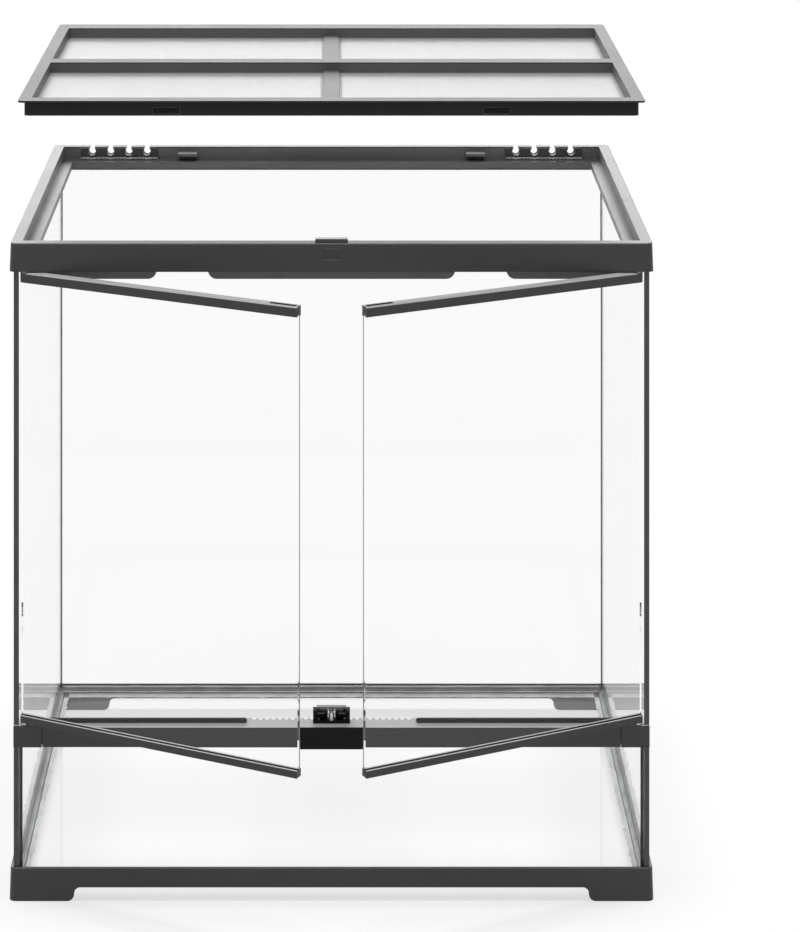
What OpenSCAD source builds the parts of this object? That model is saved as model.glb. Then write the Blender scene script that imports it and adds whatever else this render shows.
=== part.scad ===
// Glass reptile terrarium: a glass box in moulded frames, two glass front doors, and a mesh lid that lifts off.
// Millimetres. X runs to the right, Y from the front face to the back, Z up from the floor.

/* [Overall] */
// Width over the moulded frames at their wide edge
body_w = 610; // [500:10:900]
// Depth over the moulded frames at their wide edge
body_d = 460; // [350:10:600]
// Height from the floor to the top of the rim
body_h = 622; // [450:1:900]
// Slope of a frame's outer faces: each side is narrower by this at the upper edge
frame_draft = 1; // [0.5:0.1:1.5]
// Thickness of a frame's outer wall at its thin edge
frame_wall = 2.8; // [2.4:0.1:3.4]
// Bevel round the upper edge of a frame
frame_edge = 0.9; // [0.5:0.1:1.2]
// Thickness of the inner walls and shelves of the frames
inner_wall = 2.5; // [2:0.1:3]
// Radius of the frames' upright corners
corner_r = 6; // [4:0.5:9]

/* [Glass] */
// Thickness of the side, back and lower front panes
glass_t = 5; // [4:0.5:6]
// Thickness of the floor pane
floor_t = 4; // [4:0.5:6]
// Clearance between a pane and the wall or channel that holds it
pane_clear = 0.2; // [0.1:0.05:0.4]
// Leg of the silicone bead round the floor
bead = 4; // [3:0.5:6]
// Leg of the silicone bead in the upright corners
corner_bead = 1.5; // [1:0.1:3]

/* [Base frame] */
// Height of the base frame
base_h = 31; // [29:0.5:40]
// Height of the cut-outs between the feet
foot_h = 12.8; // [10:0.1:15]
// Length of each foot along the frame
foot_len = 61.5; // [40:0.5:80]
// Radius of a foot's lower corner
foot_r = 6.6; // [4:0.1:7]
// Radius where a foot meets the rail
foot_fillet = 5.7; // [3:0.1:6.5]
// Height of the shelf that the glass stands on
shelf_z = 20; // [19:0.5:24]
// Width of that shelf
shelf_w = 10; // [8:0.5:16]

/* [Top frame] */
// Height of the top frame's outer face
rim_face_h = 27; // [24:0.1:32]
// Width of the flat rim, from the outer face to the recess
rim_w = 12; // [11.5:0.1:14]
// Depth of the recess that takes the lid
recess_depth = 13; // [12:0.5:16]
// Width of the ledge at the bottom of the recess, front and back
ledge_w = 18; // [15:0.5:24]
// Width of the ledge at the sides
ledge_side_w = 10.8; // [9:0.1:20]
// Drop of the ledge's inner lip
lip_drop = 7; // [4:0.5:9]
// Drop of the door stops below the front rail
stop_drop = 9.1; // [7:0.1:9.8]
// Thickness of the door stops
stop_t = 2.5; // [2:0.1:3]
// Slope at the ends of the door stops
stop_slope = 8.5; // [3:0.5:12]
// Length of the middle door stop at its root
mid_stop_len = 235; // [150:1:260]
// Length of each outer door stop at its root
side_stop_len = 130; // [80:1:140]

/* [Cable inlets] */
// Number of inlets on each side
inlet_n = 4; // [2:1:5]
// Distance between two inlets
inlet_pitch = 20; // [16:1:24]
// Distance from the frame's side to the middle of a group of inlets
inlet_side = 73; // [68:1:110]
// Diameter of the round part of an inlet
inlet_d = 7.9; // [6:0.1:9]
// Width of an inlet's neck
inlet_neck = 5.5; // [4:0.1:5.8]
// Distance from the rim down to an inlet's centre
inlet_drop = 5; // [4.6:0.1:6]
// Length of an inlet slider
slider_len = 84; // [80:1:96]
// Height of a slider's foot
slider_foot_h = 1.8; // [1.4:0.1:2.4]
// Travel of a slider
slider_travel = 10; // [8:0.5:11]

/* [Sill] */
// Height of the underside of the sill rail
sill_z = 145; // [110:1:180]
// Height of the sill rail
sill_h = 19; // [17:0.5:24]
// How far the sill rail's front face lies behind the frames'
sill_inset = 1; // [0.6:0.1:1.4]
// Depth of the sill rail round the lower pane
sill_d = 11; // [10.5:0.5:13]
// Thickness of the sill's top
sill_top_t = 2.4; // [2:0.1:3]
// Depth of the sill behind that rail
sill_back_d = 12.4; // [10:0.1:18]
// Width of each hinge cap, from the side pane's outer face
cap_w = 26.8; // [22:0.1:32]
// Rise of the hinge caps above the sill
cap_rise = 1.4; // [1:0.1:2]
// Joint between a hinge cap and the rail
cap_gap = 0.6; // [0.3:0.1:1]
// Width of the bare plate on the middle of the rail
plate_w = 59.4; // [40:0.1:80]
// Height of that plate
plate_h = 20.4; // [16:0.1:22]
// Length of the vent strip
vent_len = 158.6; // [120:0.1:200]
// Thickness of the vent strip
vent_t = 1.8; // [1.4:0.1:2]
// Pitch of the vent slots
vent_pitch = 6.1; // [5.4:0.1:8]
// Width of a vent slot
vent_slot_w = 3.8; // [3:0.1:4.2]
// Length of a vent slot
vent_slot_len = 4.2; // [3:0.1:6]
// Height of the seal bars
seal_h = 4.2; // [3:0.1:6]
// Thickness of the seal bars
seal_t = 2.6; // [2:0.1:3.5]

/* [Doors] */
// How far the doors stand open
door_open = 25.9; // [0:0.1:90]
// Gap between the two closed doors
door_gap = 1; // [1:0.1:4]
// Thickness of a door's glass
door_glass_t = 4; // [3:0.5:5]
// Thickness of a door rail
rail_t = 8.6; // [8:0.1:9]
// Height of a top door rail
top_rail_h = 9.5; // [8:0.1:11]
// Height of a bottom door rail
bottom_rail_h = 6.6; // [6:0.1:9]
// Bevel along the front of a top door rail
rail_bevel = 1.3; // [0.5:0.1:2]
// Thickness of a door rail's closed edge
rail_web = 3; // [2.4:0.1:3.4]
// Gap between the bottom door rail and its hinge cap
door_lift = 2.3; // [1.5:0.1:3]
// Gap between the top door rail and the top frame
door_head = 0.9; // [0.6:0.1:4]
// Distance from the side pane to a hinge's axis
hinge_inset = 5.5; // [5.2:0.1:7]
// Radius of a hinge pin
pin_r = 2; // [1.8:0.1:2.2]
// Radial clearance of a hinge pin in its socket
pin_clear = 0.05; // [0.02:0.01:0.09]
// Depth of a hinge pin in its socket
pin_depth = 4.8; // [4:0.1:4.8]

/* [Door lock] */
// Width of the lock body
lock_w = 35; // [32:1:40]
// Depth of the lock body
lock_d = 9; // [8.5:0.5:12]
// Height of the lock body
lock_h = 12.4; // [12.2:0.1:15]
// Width of the gap round the guide post
lock_gap = 6.8; // [6.6:0.1:7.2]
// Radius of the guide post
post_r = 2.9; // [2.4:0.1:3]
// Travel of the lock plate
lock_travel = 1.2; // [0.8:0.1:1.3]
// Width of the lock plate
lock_plate_w = 28; // [27:0.5:30]
// Depth of the lock plate
lock_plate_d = 4.8; // [4.4:0.1:6]
// Thickness of the lock plate
lock_plate_t = 1.2; // [1:0.1:2]

/* [Lid] */
// How far the lid is lifted above its seat
lid_lift = 131; // [0:1:200]
// Width of the lid over its flange
lid_w = 596; // [480:1:598]
// Thickness of the lid's flange
flange_t = 1.8; // [1.5:0.1:2.4]
// Overhang of the flange at the front
flange_front = 3.4; // [3:0.1:4]
// Overhang of the flange at the back
flange_back = 18.9; // [16:0.1:20]
// Clearance between the lid and its recess
lid_clear = 0.75; // [0.5:0.05:1.2]
// Gap left under the seated lid
seat_gap = 0.2; // [0.1:0.05:0.4]
// Space behind the lid for cables
cable_space = 13; // [12:0.5:15]
// Width of the lid's side members
lid_side_w = 12; // [10:0.5:16]
// Width of the lid's front member
lid_front_w = 18; // [16:0.5:24]
// Width of the lid's back member below the flange
lid_back_w = 7; // [6:0.5:10]
// Width of the lid's cross bar, left to right
cross_bar_w = 21.5; // [16:0.5:26]
// Width of the lid's middle bar, front to back
middle_bar_w = 16; // [10:0.5:20]
// Depth of the mesh below the flange's top
mesh_depth = 10.5; // [8:0.1:10.8]
// Thickness of the mesh
mesh_t = 0.8; // [0.6:0.1:1.2]
// Width of the seat under the mesh
mesh_seat = 3; // [2:0.5:5]
// Distance from the middle of a group of inlets to a back tab and its slot in the lid
catch_gap = 75; // [70:1:100]
// Width of the lid's slots
catch_slot_w = 25; // [23:0.5:30]
// Height of the lid's slots
catch_slot_h = 5.6; // [3:0.1:7]
// Width of the back tabs
tab_w = 21; // [16:0.5:22]
// Thickness of the back tabs
tab_t = 3; // [2:0.1:3.5]

/* [Lid latch] */
// Width of the latch's thumb tab
latch_w = 31; // [26:0.5:36]
// Travel of the latch
latch_travel = 3.3; // [2.6:0.1:3.3]
// Thickness of the lip that holds the lid down
latch_lip_t = 1.5; // [1.2:0.1:2]

/* [Hidden] */
$fn = 48;

charcoal = "#46464a";
black = "#1e1e20";
glass = [0.86, 0.93, 0.93, 0.35];
steel = "#b8babc";

// How far a cut runs past the face that it opens
cut = 1;

// Panes
pane_out_x = body_w / 2 - frame_draft - frame_wall - pane_clear;
pane_in_x = pane_out_x - glass_t;
pane_front_y = frame_draft + frame_wall + pane_clear;
pane_back_y = body_d - pane_front_y;
cavity_w = 2 * (pane_out_x + pane_clear);
cavity_y = pane_front_y - pane_clear;
cavity_d = body_d - 2 * cavity_y;
inlet_z = body_h - inlet_drop;
inlet_x = body_w / 2 - inlet_side;
catch_x = inlet_x - catch_gap;
inlet_sill = 2;
pane_top = inlet_z - inlet_d / 2 - inlet_sill;
floor_top = shelf_z + floor_t;
inner_pane_x = pane_in_x - pane_clear;

// Top frame
rim_bottom = body_h - rim_face_h;
recess_w = body_w - 2 * rim_w;
recess_d = body_d - 2 * rim_w;
recess_z = body_h - recess_depth;
front_box_d = rim_w + inner_wall / 2;

// Sill
sill_top = sill_z + sill_h;
sill_back_y = sill_inset + sill_d;
channel_top = sill_top - sill_top_t - 1.8;
front_pane_top = channel_top - pane_clear;
cap_top = sill_top + cap_rise;
rail_half = pane_out_x - cap_w;
sill_ends = inner_pane_x - 0.3;

// Doors
hinge_x = pane_in_x - hinge_inset;
hinge_y = sill_inset + rail_t / 2;
door_len = hinge_x - door_gap / 2;
door_z = cap_top + door_lift;
door_top = rim_bottom - door_head;
stop_y = sill_inset + rail_t + 0.6;
glass_start = 2.5;
socket_r = pin_r + pin_clear;
press_clear = 0.02;
collar_r = pin_r + 1.4;
collar_gap = 0.3;

// Lock
lock_y = stop_y - 0.2;
lock_base_t = 2.5;
lock_roof_t = 2.2;
lock_top = sill_top + lock_h;
pocket_in_x = lock_gap / 2 + 1.2;
pocket_out_x = lock_w / 2 - 2.8;
pocket_z = sill_top + lock_base_t;
pocket_top = lock_top - lock_roof_t;
tongue_w = 6;
tongue_len = 5.7;
tongue_t = 3;
tongue_end = pocket_in_x + 0.6 - door_gap / 2;
tongue_z = pocket_top - 2.5 - tongue_t;
hook_t = 1.3;
hook_z = tongue_z + tongue_t + 0.5;
hook_y = lock_y + 2.6;
leg_w = 2.8;
leg_out_x = lock_plate_w / 2 - 0.2;
plate_gap = 2.8;
spigot_r = post_r - 1.3;
lock_plate_z = lock_top + plate_gap;
post_y = hook_y + hook_t / 2;
leg_clear = 0.3;
screw_r = 1.1;
screw_x = pocket_out_x - 2.2;
screw_y = lock_y + 5.2;

// Lid, as seated
lid_top = body_h + seat_gap + flange_t;
lid_bottom = recess_z + 0.3;
lid_body_w = recess_w - 2 * lid_clear;
lid_y = rim_w + lid_clear;
lid_back_y = body_d - rim_w - cable_space;
flange_y = lid_y - flange_front;
flange_d = lid_back_y + flange_back - flange_y;
mesh_top = lid_top - mesh_depth;
mesh_z = mesh_top - mesh_t;
window_out_x = lid_w / 2 - lid_side_w;
window_in_x = middle_bar_w / 2;
window_front_y = flange_y + lid_front_w;
window_back_y = lid_back_y - lid_back_w;
cross_y = (window_front_y + window_back_y) / 2;
window_d = (window_back_y - window_front_y - cross_bar_w) / 2;
window_w = window_out_x - window_in_x;
middle_bar_top = mesh_top + 3.5;
tab_z = body_h - 4.5 - tab_t;
tab_notch_d = lid_back_w / 2;
tab_reach = cable_space + tab_notch_d - 1.5;

// Inlet sliders, which run between the back wall and a low guide behind the lid
slider_clear = 0.3;
slider_t = 2;
guide_t = 1.6;
guide_y = lid_back_y + 0.5;
slider_foot_d = body_d - rim_w - guide_y - guide_t - 2 * slider_clear;

// Lid latch
latch_y = 1.5;
lip_z = lid_top + 0.3;
latch_block_d = flange_y - 0.2 - latch_travel - latch_y;
latch_stem_t = 1.4;
latch_stem_w = 16;
latch_foot_w = 24;
latch_foot_d = 1.8;
latch_foot_t = 2;
latch_clear = 0.3;
latch_stem_y = cavity_y + latch_clear + 0.2;

// The model stands with the middle of its box, doors ajar, over the origin
reach_y = hinge_y - door_len * sin(door_open) - rail_t / 2 * cos(door_open);
front_y = -(body_d + min(reach_y, 0)) / 2;

// ---- Shared shapes ----

module placed() translate([0, front_y, 0]) children();

module both_sides() {
  children();
  mirror([1, 0, 0]) children();
}

// A rectangle with round corners, centred on X and starting at y = 0
module round_rect(w, d, r) {
  translate([-w / 2 + r, 0]) square([w - 2 * r, d]);
  translate([-w / 2, r]) square([w, d - 2 * r]);
  for (x = [-w / 2 + r, w / 2 - r], y = [r, d - r]) translate([x, y]) circle(r);
}

module block(w, d, y, z, h, r = 3) {
  translate([0, y, z]) linear_extrude(h) round_rect(w, d, r);
}

module ring(w, d, y, z, h, band, r = 3) {
  difference() {
    block(w, d, y, z, h, r);
    block(w - 2 * band, d - 2 * band, y + band, z - cut, h + 2 * cut, max(r - band, 0.8));
  }
}

// The outer form of a moulded frame, narrower at its upper edge
module drafted(z, h) {
  w = body_w;
  d = body_d;
  t = frame_draft;
  e = t + frame_edge;
  hull($fn = 32) {
    block(w, d, 0, z, 0.4, corner_r);
    block(w - 2 * t, d - 2 * t, t, z + h - frame_edge, 0.01, corner_r - t);
    block(w - 2 * e, d - 2 * e, e, z + h - 0.01, 0.01, corner_r - e);
  }
}

// A section drawn in Y and Z, run along X
module along_x(x0, x1) translate([x0, 0, 0]) rotate([90, 0, 90]) linear_extrude(x1 - x0) children();

// A section drawn in X and Z, run along Y
module along_y(y0, y1) translate([0, y1, 0]) rotate([90, 0, 0]) linear_extrude(y1 - y0) children();

// The cut-out between two feet
module arch(w, h, r_top, r_foot) {
  translate([-w / 2, -cut]) square([w, h - r_top + cut]);
  translate([-w / 2 + r_top, -cut]) square([w - 2 * r_top, h + cut]);
  for (s = [-1, 1]) {
    translate([s * (w / 2 - r_top), h - r_top]) circle(r_top);
    difference() {
      translate([s * (w / 2 + r_foot / 2), (r_foot - cut) / 2]) square([r_foot, r_foot + cut], center = true);
      translate([s * (w / 2 + r_foot), r_foot]) circle(r_foot);
    }
  }
}

// A triangular bead whose right angle lies at the origin
module bead_section(sx = 1, sy = 1, leg = bead) polygon([[0, 0], [sx * leg, 0], [0, sy * leg]]);

// ---- Base and glass ----

module base_frame() {
  floor_z = shelf_z - inner_wall;
  open_w = cavity_w - 2 * shelf_w;
  open_d = cavity_d - 2 * shelf_w;
  color(charcoal) placed() difference() {
    drafted(0, base_h);
    block(cavity_w, cavity_d, cavity_y, shelf_z, base_h, 3 * pane_clear);
    block(cavity_w, cavity_d, cavity_y, -cut, floor_z + cut);
    block(open_w, open_d, cavity_y + shelf_w, 0, base_h);
    along_y(-cut, body_d + cut) arch(body_w - 2 * foot_len, foot_h, foot_fillet, foot_r);
    translate([0, body_d / 2, 0]) rotate([0, 0, 90]) along_y(-body_w, body_w)
      arch(body_d - 2 * foot_len, foot_h, foot_fillet, foot_r);
  }
}

module pane(x, y, z, w, d, h) color(glass) placed() translate([x, y, z]) cube([w, d, h]);

module floor_pane() {
  y = pane_front_y + glass_t + pane_clear;
  pane(-inner_pane_x, y, shelf_z, 2 * inner_pane_x, pane_back_y - glass_t - pane_clear - y, floor_t);
}

module back_pane()
  pane(-inner_pane_x, pane_back_y - glass_t, shelf_z, 2 * inner_pane_x, glass_t, pane_top - shelf_z);

module left_pane()
  pane(-pane_out_x, pane_front_y, shelf_z, glass_t, pane_back_y - pane_front_y, pane_top - shelf_z);

module right_pane()
  pane(pane_in_x, pane_front_y, shelf_z, glass_t, pane_back_y - pane_front_y, pane_top - shelf_z);

module front_pane()
  pane(-inner_pane_x, pane_front_y, shelf_z, 2 * inner_pane_x, glass_t, front_pane_top - shelf_z);

module silicone_seams() {
  front = pane_front_y + glass_t;
  back = pane_back_y - glass_t;
  back_top = recess_z - inner_wall - pane_clear;
  color(black) placed() {
    both_sides() {
      translate([pane_in_x, back, floor_top + bead]) linear_extrude(back_top - floor_top - bead)
        bead_section(-1, -1, corner_bead);
      translate([pane_in_x, front, floor_top + bead]) linear_extrude(sill_z - floor_top - bead - cut)
        bead_section(-1, 1, corner_bead);
      translate([pane_in_x, 0, floor_top]) along_y(front, back) bead_section(-1, 1);
    }
    translate([0, front, floor_top]) along_x(-pane_in_x + bead, pane_in_x - bead) bead_section(1, 1);
    translate([0, back, floor_top]) along_x(-pane_in_x + bead, pane_in_x - bead) bead_section(-1, 1);
  }
}

// ---- Sill ----

module sill_section() {
  difference() {
    translate([sill_inset, sill_z]) square([sill_d, sill_h]);
    translate([pane_front_y - pane_clear, sill_z - cut])
      square([glass_t + 2 * pane_clear, channel_top - sill_z + cut]);
    translate([sill_inset, sill_z]) rotate(45) square(0.8, center = true);
  }
}

module sill_rail() {
  shelf = 2;
  back_lap = 0.4;
  color(charcoal) placed() {
    along_x(-rail_half + cap_gap, rail_half - cap_gap) sill_section();
    both_sides() translate([vent_len / 2, sill_back_y - back_lap, sill_top - sill_top_t])
      cube([sill_ends - vent_len / 2, sill_back_d + back_lap, sill_top_t]);
    translate([-vent_len / 2, sill_back_y - back_lap, sill_top - vent_t - shelf])
      cube([vent_len, shelf + back_lap, shelf]);
  }
}

// Closed block that caps the end of the rail, wraps the pane's edge and carries a hinge socket
module hinge_cap() {
  d = sill_d - 0.6;
  color(charcoal) placed() difference() {
    union() {
      translate([rail_half, sill_inset, sill_z]) cube([inner_pane_x - rail_half, d, sill_h + cap_rise]);
      translate([rail_half, sill_inset, sill_z])
        cube([cap_w, pane_front_y - pane_clear - sill_inset, sill_h + cap_rise]);
    }
    translate([rail_half - cut, pane_front_y - pane_clear, sill_z - cut])
      cube([cap_w + 2 * cut, glass_t + 2 * pane_clear, channel_top - sill_z + cut]);
    translate([hinge_x, hinge_y, cap_top - pin_depth - collar_gap])
      cylinder(r = socket_r, h = pin_depth + collar_gap + cut);
  }
}

module left_hinge_cap() mirror([1, 0, 0]) hinge_cap();
module right_hinge_cap() hinge_cap();

// Bare plate with a shallow panel
module centre_plate() {
  t = sill_inset + 0.2;
  z = sill_top - plate_h;
  edge = 2.4;
  color(black) placed() difference() {
    translate([-plate_w / 2, -0.2, z]) cube([plate_w, t, plate_h]);
    translate([-plate_w / 2 + edge, -0.2 - cut, z + edge]) cube([plate_w - 2 * edge, cut + 0.4, plate_h - 2 * edge]);
  }
}

module vent_strip() {
  n = floor((vent_len / 2 - vent_slot_w) / vent_pitch);
  y_back = sill_back_y + sill_back_d;
  color(charcoal) placed() difference() {
    translate([-vent_len / 2 + 0.2, sill_back_y + 0.05, sill_top - vent_t])
      cube([vent_len - 0.4, sill_back_d - 0.05, vent_t]);
    for (i = [-n:n]) translate([i * vent_pitch, y_back, sill_top - vent_t - cut]) {
      translate([-vent_slot_w / 2, vent_slot_w / 2 - vent_slot_len, 0])
        cube([vent_slot_w, vent_slot_len, vent_t + 2 * cut]);
      translate([0, vent_slot_w / 2 - vent_slot_len, 0])
        cylinder(d = vent_slot_w, h = vent_t + 2 * cut, $fn = 24);
    }
    both_sides() translate([screw_x, screw_y, sill_top - vent_t - cut]) cylinder(r = screw_r, h = vent_t + 2 * cut);
  }
}

// Strip with round ends that closes the gap under a door
module seal_bar() {
  x0 = vent_len / 2 + 0.7;
  x1 = sill_ends;
  r = seal_h / 2;
  color(black) placed() translate([0, 0, sill_top]) along_y(sill_back_y + 0.1, sill_back_y + 0.1 + seal_t) {
    translate([x0 + r, 0]) square([x1 - x0 - 2 * r, seal_h]);
    for (x = [x0 + r, x1 - r]) translate([x, r]) circle(r);
  }
}

module left_seal_bar() mirror([1, 0, 0]) seal_bar();
module right_seal_bar() seal_bar();

// ---- Lock ----

module lock_body() {
  color(black) placed() difference() {
    translate([-lock_w / 2, lock_y, sill_top]) cube([lock_w, lock_d, lock_h]);
    translate([-lock_gap / 2, lock_y - cut, pocket_z]) cube([lock_gap, lock_d + 2 * cut, lock_h]);
    both_sides() {
      translate([pocket_in_x, lock_y - cut, pocket_z])
        cube([pocket_out_x - pocket_in_x, lock_d - 2 + cut, pocket_top - pocket_z]);
      translate([leg_out_x - leg_w - leg_clear, hook_y - leg_clear, pocket_top - cut])
        cube([leg_w + 2 * leg_clear, hook_t + 2 * leg_clear, lock_roof_t + 2 * cut]);
      translate([screw_x, screw_y, sill_top - cut]) cylinder(r = screw_r, h = lock_base_t + 2 * cut);
    }
  }
}

// Post with a spigot that guides the lock plate
module lock_post() color(steel) placed() translate([0, post_y, 0]) {
  translate([0, 0, pocket_z]) cylinder(r = post_r, h = pocket_top - 0.8 - pocket_z);
  translate([0, 0, pocket_top - 1]) cylinder(r = spigot_r, h = lock_plate_z + 0.3 - pocket_top);
}

module lock_screws() color(steel) placed() both_sides() translate([screw_x, screw_y, sill_top - 3]) {
  cylinder(r = screw_r - press_clear, h = 3 + lock_base_t);
  translate([0, 0, 3 + lock_base_t]) difference() {
    cylinder(r = 1.7, h = 1);
    translate([-2, -0.25, 0.5]) cube([4, 0.5, 1]);
  }
}

// Pressed down, its hooks drop into the notches of the doors' tongues
module lock_plate() {
  bush_z = pocket_top + lock_travel - 0.5;
  bracket_t = plate_gap - lock_travel - 0.3;
  color("#8f9092") placed() difference() {
    union() {
      translate([-lock_plate_w / 2, lock_y - 1.2, lock_plate_z]) cube([lock_plate_w, lock_plate_d, lock_plate_t]);
      translate([-5, post_y - 2.8, lock_plate_z - bracket_t]) cube([10, 5.6, bracket_t + 0.1]);
      translate([0, post_y, bush_z]) cylinder(r = post_r, h = lock_plate_z - bush_z + 0.1);
      both_sides() {
        translate([leg_out_x - leg_w, hook_y, hook_z]) cube([leg_w, hook_t, lock_plate_z - hook_z + 0.1]);
        translate([pocket_in_x + 1.8, hook_y, hook_z]) cube([leg_out_x - pocket_in_x - 1.8, hook_t, 1.2]);
      }
    }
    translate([0, post_y, bush_z - cut]) cylinder(r = spigot_r + pin_clear, h = lock_plate_z + lock_plate_t - 0.5 - bush_z + cut);
  }
}

// ---- Top frame ----

module top_frame() {
  lip_w = recess_w - 2 * (ledge_side_w - inner_wall);
  lip_d = recess_d - 2 * (ledge_w - inner_wall);
  color(charcoal) placed() difference() {
    union() {
      difference() {
        drafted(rim_bottom, rim_face_h);
        block(cavity_w, cavity_d, cavity_y, rim_bottom - cut, rim_face_h - inner_wall + cut, 3 * pane_clear);
      }
      ring(recess_w + 2 * inner_wall, recess_d + 2 * inner_wall, rim_w - inner_wall, recess_z - inner_wall,
        recess_depth + inner_wall, inner_wall);
      block(recess_w + 2 * inner_wall, recess_d + 2 * inner_wall, rim_w - inner_wall, recess_z - inner_wall,
        inner_wall);
      ring(lip_w, lip_d, rim_w + ledge_w - inner_wall, recess_z - lip_drop, lip_drop, inner_wall);
      front_box();
    }
    block(recess_w, recess_d, rim_w, recess_z, recess_depth + cut, 0.8);
    block(lip_w - 2 * inner_wall, lip_d - 2 * inner_wall, rim_w + ledge_w, recess_z - lip_drop - cut,
      recess_depth + lip_drop, 0.8);
    both_sides() {
      for (i = [0:inlet_n - 1]) translate([inlet_x + (i - (inlet_n - 1) / 2) * inlet_pitch, 0, 0]) inlet_cut();
      translate([hinge_x, hinge_y, rim_bottom - cut]) cylinder(r = socket_r, h = pin_depth + collar_gap + cut);
    }
    latch_slot();
    translate([-8, -cut, rim_bottom + 11.5]) cube([16, cut + frame_draft + 0.8, 9.6]);
  }
  color(charcoal) placed() {
    for (s = [-1, 1]) translate([s * catch_x, 0, 0]) back_tab();
    both_sides() slider_guide();
  }
}

// Floor and back of the hollow front rail, with the door stops and hinge bosses
module front_box() {
  w = inner_pane_x;
  translate([-w, cavity_y - 0.5, rim_bottom]) cube([2 * w, front_box_d - cavity_y + 0.5, inner_wall]);
  translate([-w, front_box_d - inner_wall, rim_bottom]) cube([2 * w, inner_wall, recess_z - rim_bottom - 0.5]);
  stop(0, mid_stop_len);
  both_sides() {
    stop(w - side_stop_len / 2, side_stop_len);
    translate([hinge_x, hinge_y, rim_bottom])
      cylinder(r = min(pin_r + 2.6, hinge_inset - pane_clear), h = pin_depth + inner_wall);
  }
}

// Tab under the front rail, with curved ends
module stop(x, len) {
  end = [for (a = [0:15:90]) [len / 2 - stop_slope * (1 - cos(a)), -stop_drop * sin(a)]];
  translate([x, 0, rim_bottom]) along_y(stop_y, stop_y + stop_t) for (s = [0, 1]) mirror([s, 0])
    polygon(concat([[0, -stop_drop], [0, 0.5], [len / 2, 0.5]], end));
}

// Keyhole through the back rail, open at the rim
module inlet_cut() along_y(body_d - rim_w - cut, body_d + cut) {
  translate([0, inlet_z]) circle(d = inlet_d);
  translate([-inlet_neck / 2, inlet_z]) square([inlet_neck, inlet_drop + cut]);
}

// Tab on the back wall that locates the lid
module back_tab() {
  y = body_d - rim_w - tab_reach;
  translate([-tab_w / 2, y, tab_z]) cube([tab_w, tab_reach + 0.2, tab_t]);
  for (x = [-tab_w / 2, tab_w / 2 - 1.6]) translate([x, body_d - rim_w - 3, recess_z - 0.2])
    cube([1.6, 3.2, tab_z - recess_z + 0.4]);
}

// Low rail on the ledge that keeps a slider against the back wall
module slider_guide() {
  x0 = inlet_x - slider_len / 2 - slider_travel - 2;
  x1 = inlet_x + slider_len / 2 + 4;
  translate([x0, guide_y, recess_z - 0.2]) cube([x1 - x0, guide_t, 1.4]);
}

// Comb that slides along the back wall; its teeth close the inlets
module inlet_slider() {
  y1 = body_d - rim_w - slider_clear;
  z0 = recess_z + seat_gap;
  h = body_h - 1 - z0;
  rib_n = floor(slider_len / 4) - 1;
  color(charcoal) placed() difference() {
    union() {
      translate([inlet_x - slider_len / 2, y1 - slider_t, z0]) cube([slider_len, slider_t, h]);
      translate([inlet_x - slider_len / 2, y1 - slider_foot_d, z0])
        cube([slider_len, slider_foot_d, slider_foot_h]);
      for (i = [0:rib_n]) translate([inlet_x + (i - rib_n / 2) * 4 - 0.5, y1 - slider_foot_d, z0])
        cube([1, 4, slider_foot_h + 0.6]);
    }
    for (i = [0:inlet_n - 1]) translate([inlet_x + (i - (inlet_n - 1) / 2) * inlet_pitch, 0, 0]) {
      along_y(y1 - slider_t - cut, y1 + cut) {
        translate([0, inlet_z]) circle(d = inlet_d + 0.4);
        translate([-inlet_neck / 2 - 0.2, inlet_z]) square([inlet_neck + 0.4, inlet_drop + cut]);
      }
      translate([0, y1 - slider_t - 2.6, z0 - cut]) cylinder(d = 3.6, h = 10, $fn = 24);
    }
  }
}

module left_inlet_slider() mirror([1, 0, 0]) inlet_slider();
module right_inlet_slider() inlet_slider();

// ---- Lid latch ----

module latch_slot() translate([-latch_stem_w / 2 - latch_clear, latch_stem_y - latch_clear, body_h - inner_wall - cut])
  cube([latch_stem_w + 2 * latch_clear, latch_stem_t + latch_travel + 2 * latch_clear, inner_wall + 2 * cut]);

module lid_latch() {
  z = body_h + seat_gap;
  foot_z = body_h - inner_wall - latch_clear - latch_foot_t;
  lip_d = flange_y - 0.4 - latch_y;
  color(charcoal) placed() {
    translate([-latch_w / 2, latch_y, z]) cube([latch_w, latch_block_d, lip_z - z + 0.1]);
    translate([0, latch_y, lip_z]) along_y(0, lip_d) polygon([
      [-latch_w / 2, 0], [latch_w / 2, 0], [latch_w / 2 - 1, latch_lip_t], [-latch_w / 2 + 1, latch_lip_t]
    ]);
    translate([-latch_stem_w / 2, latch_stem_y, foot_z]) cube([latch_stem_w, latch_stem_t, z - foot_z + 0.1]);
    translate([-latch_foot_w / 2, latch_stem_y - 0.1, foot_z]) cube([latch_foot_w, latch_foot_d, latch_foot_t]);
  }
}

// ---- Doors, drawn closed with the hinge axis at the origin and the free end towards +X ----

module hung() placed() translate([-hinge_x, hinge_y, 0]) rotate([0, 0, -door_open]) children();

module rail_body(h) {
  difference() {
    union() {
      translate([0, -rail_t / 2, 0]) cube([door_len, rail_t, h]);
      cylinder(d = rail_t, h = h);
    }
    translate([-glass_start - pane_clear, -door_glass_t / 2 - 0.1, rail_web])
      cube([door_len + 10, door_glass_t + 0.2, h]);
    translate([0, 0, -cut]) cylinder(r = pin_r + press_clear, h = rail_web + 2 * cut);
  }
}

module door_bottom_rail() color(charcoal) hung() {
  translate([0, 0, door_z]) rail_body(bottom_rail_h);
  translate([door_len - tongue_end - tongue_w, rail_t / 2 - 0.1, tongue_z]) difference() {
    cube([tongue_w, tongue_len + 0.1, tongue_t]);
    translate([-cut, hook_y - leg_clear - sill_inset - rail_t + 0.1, tongue_t - 1.2])
      cube([tongue_w + 2 * cut, hook_t + 2 * leg_clear, 1.2 + cut]);
  }
}

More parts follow.
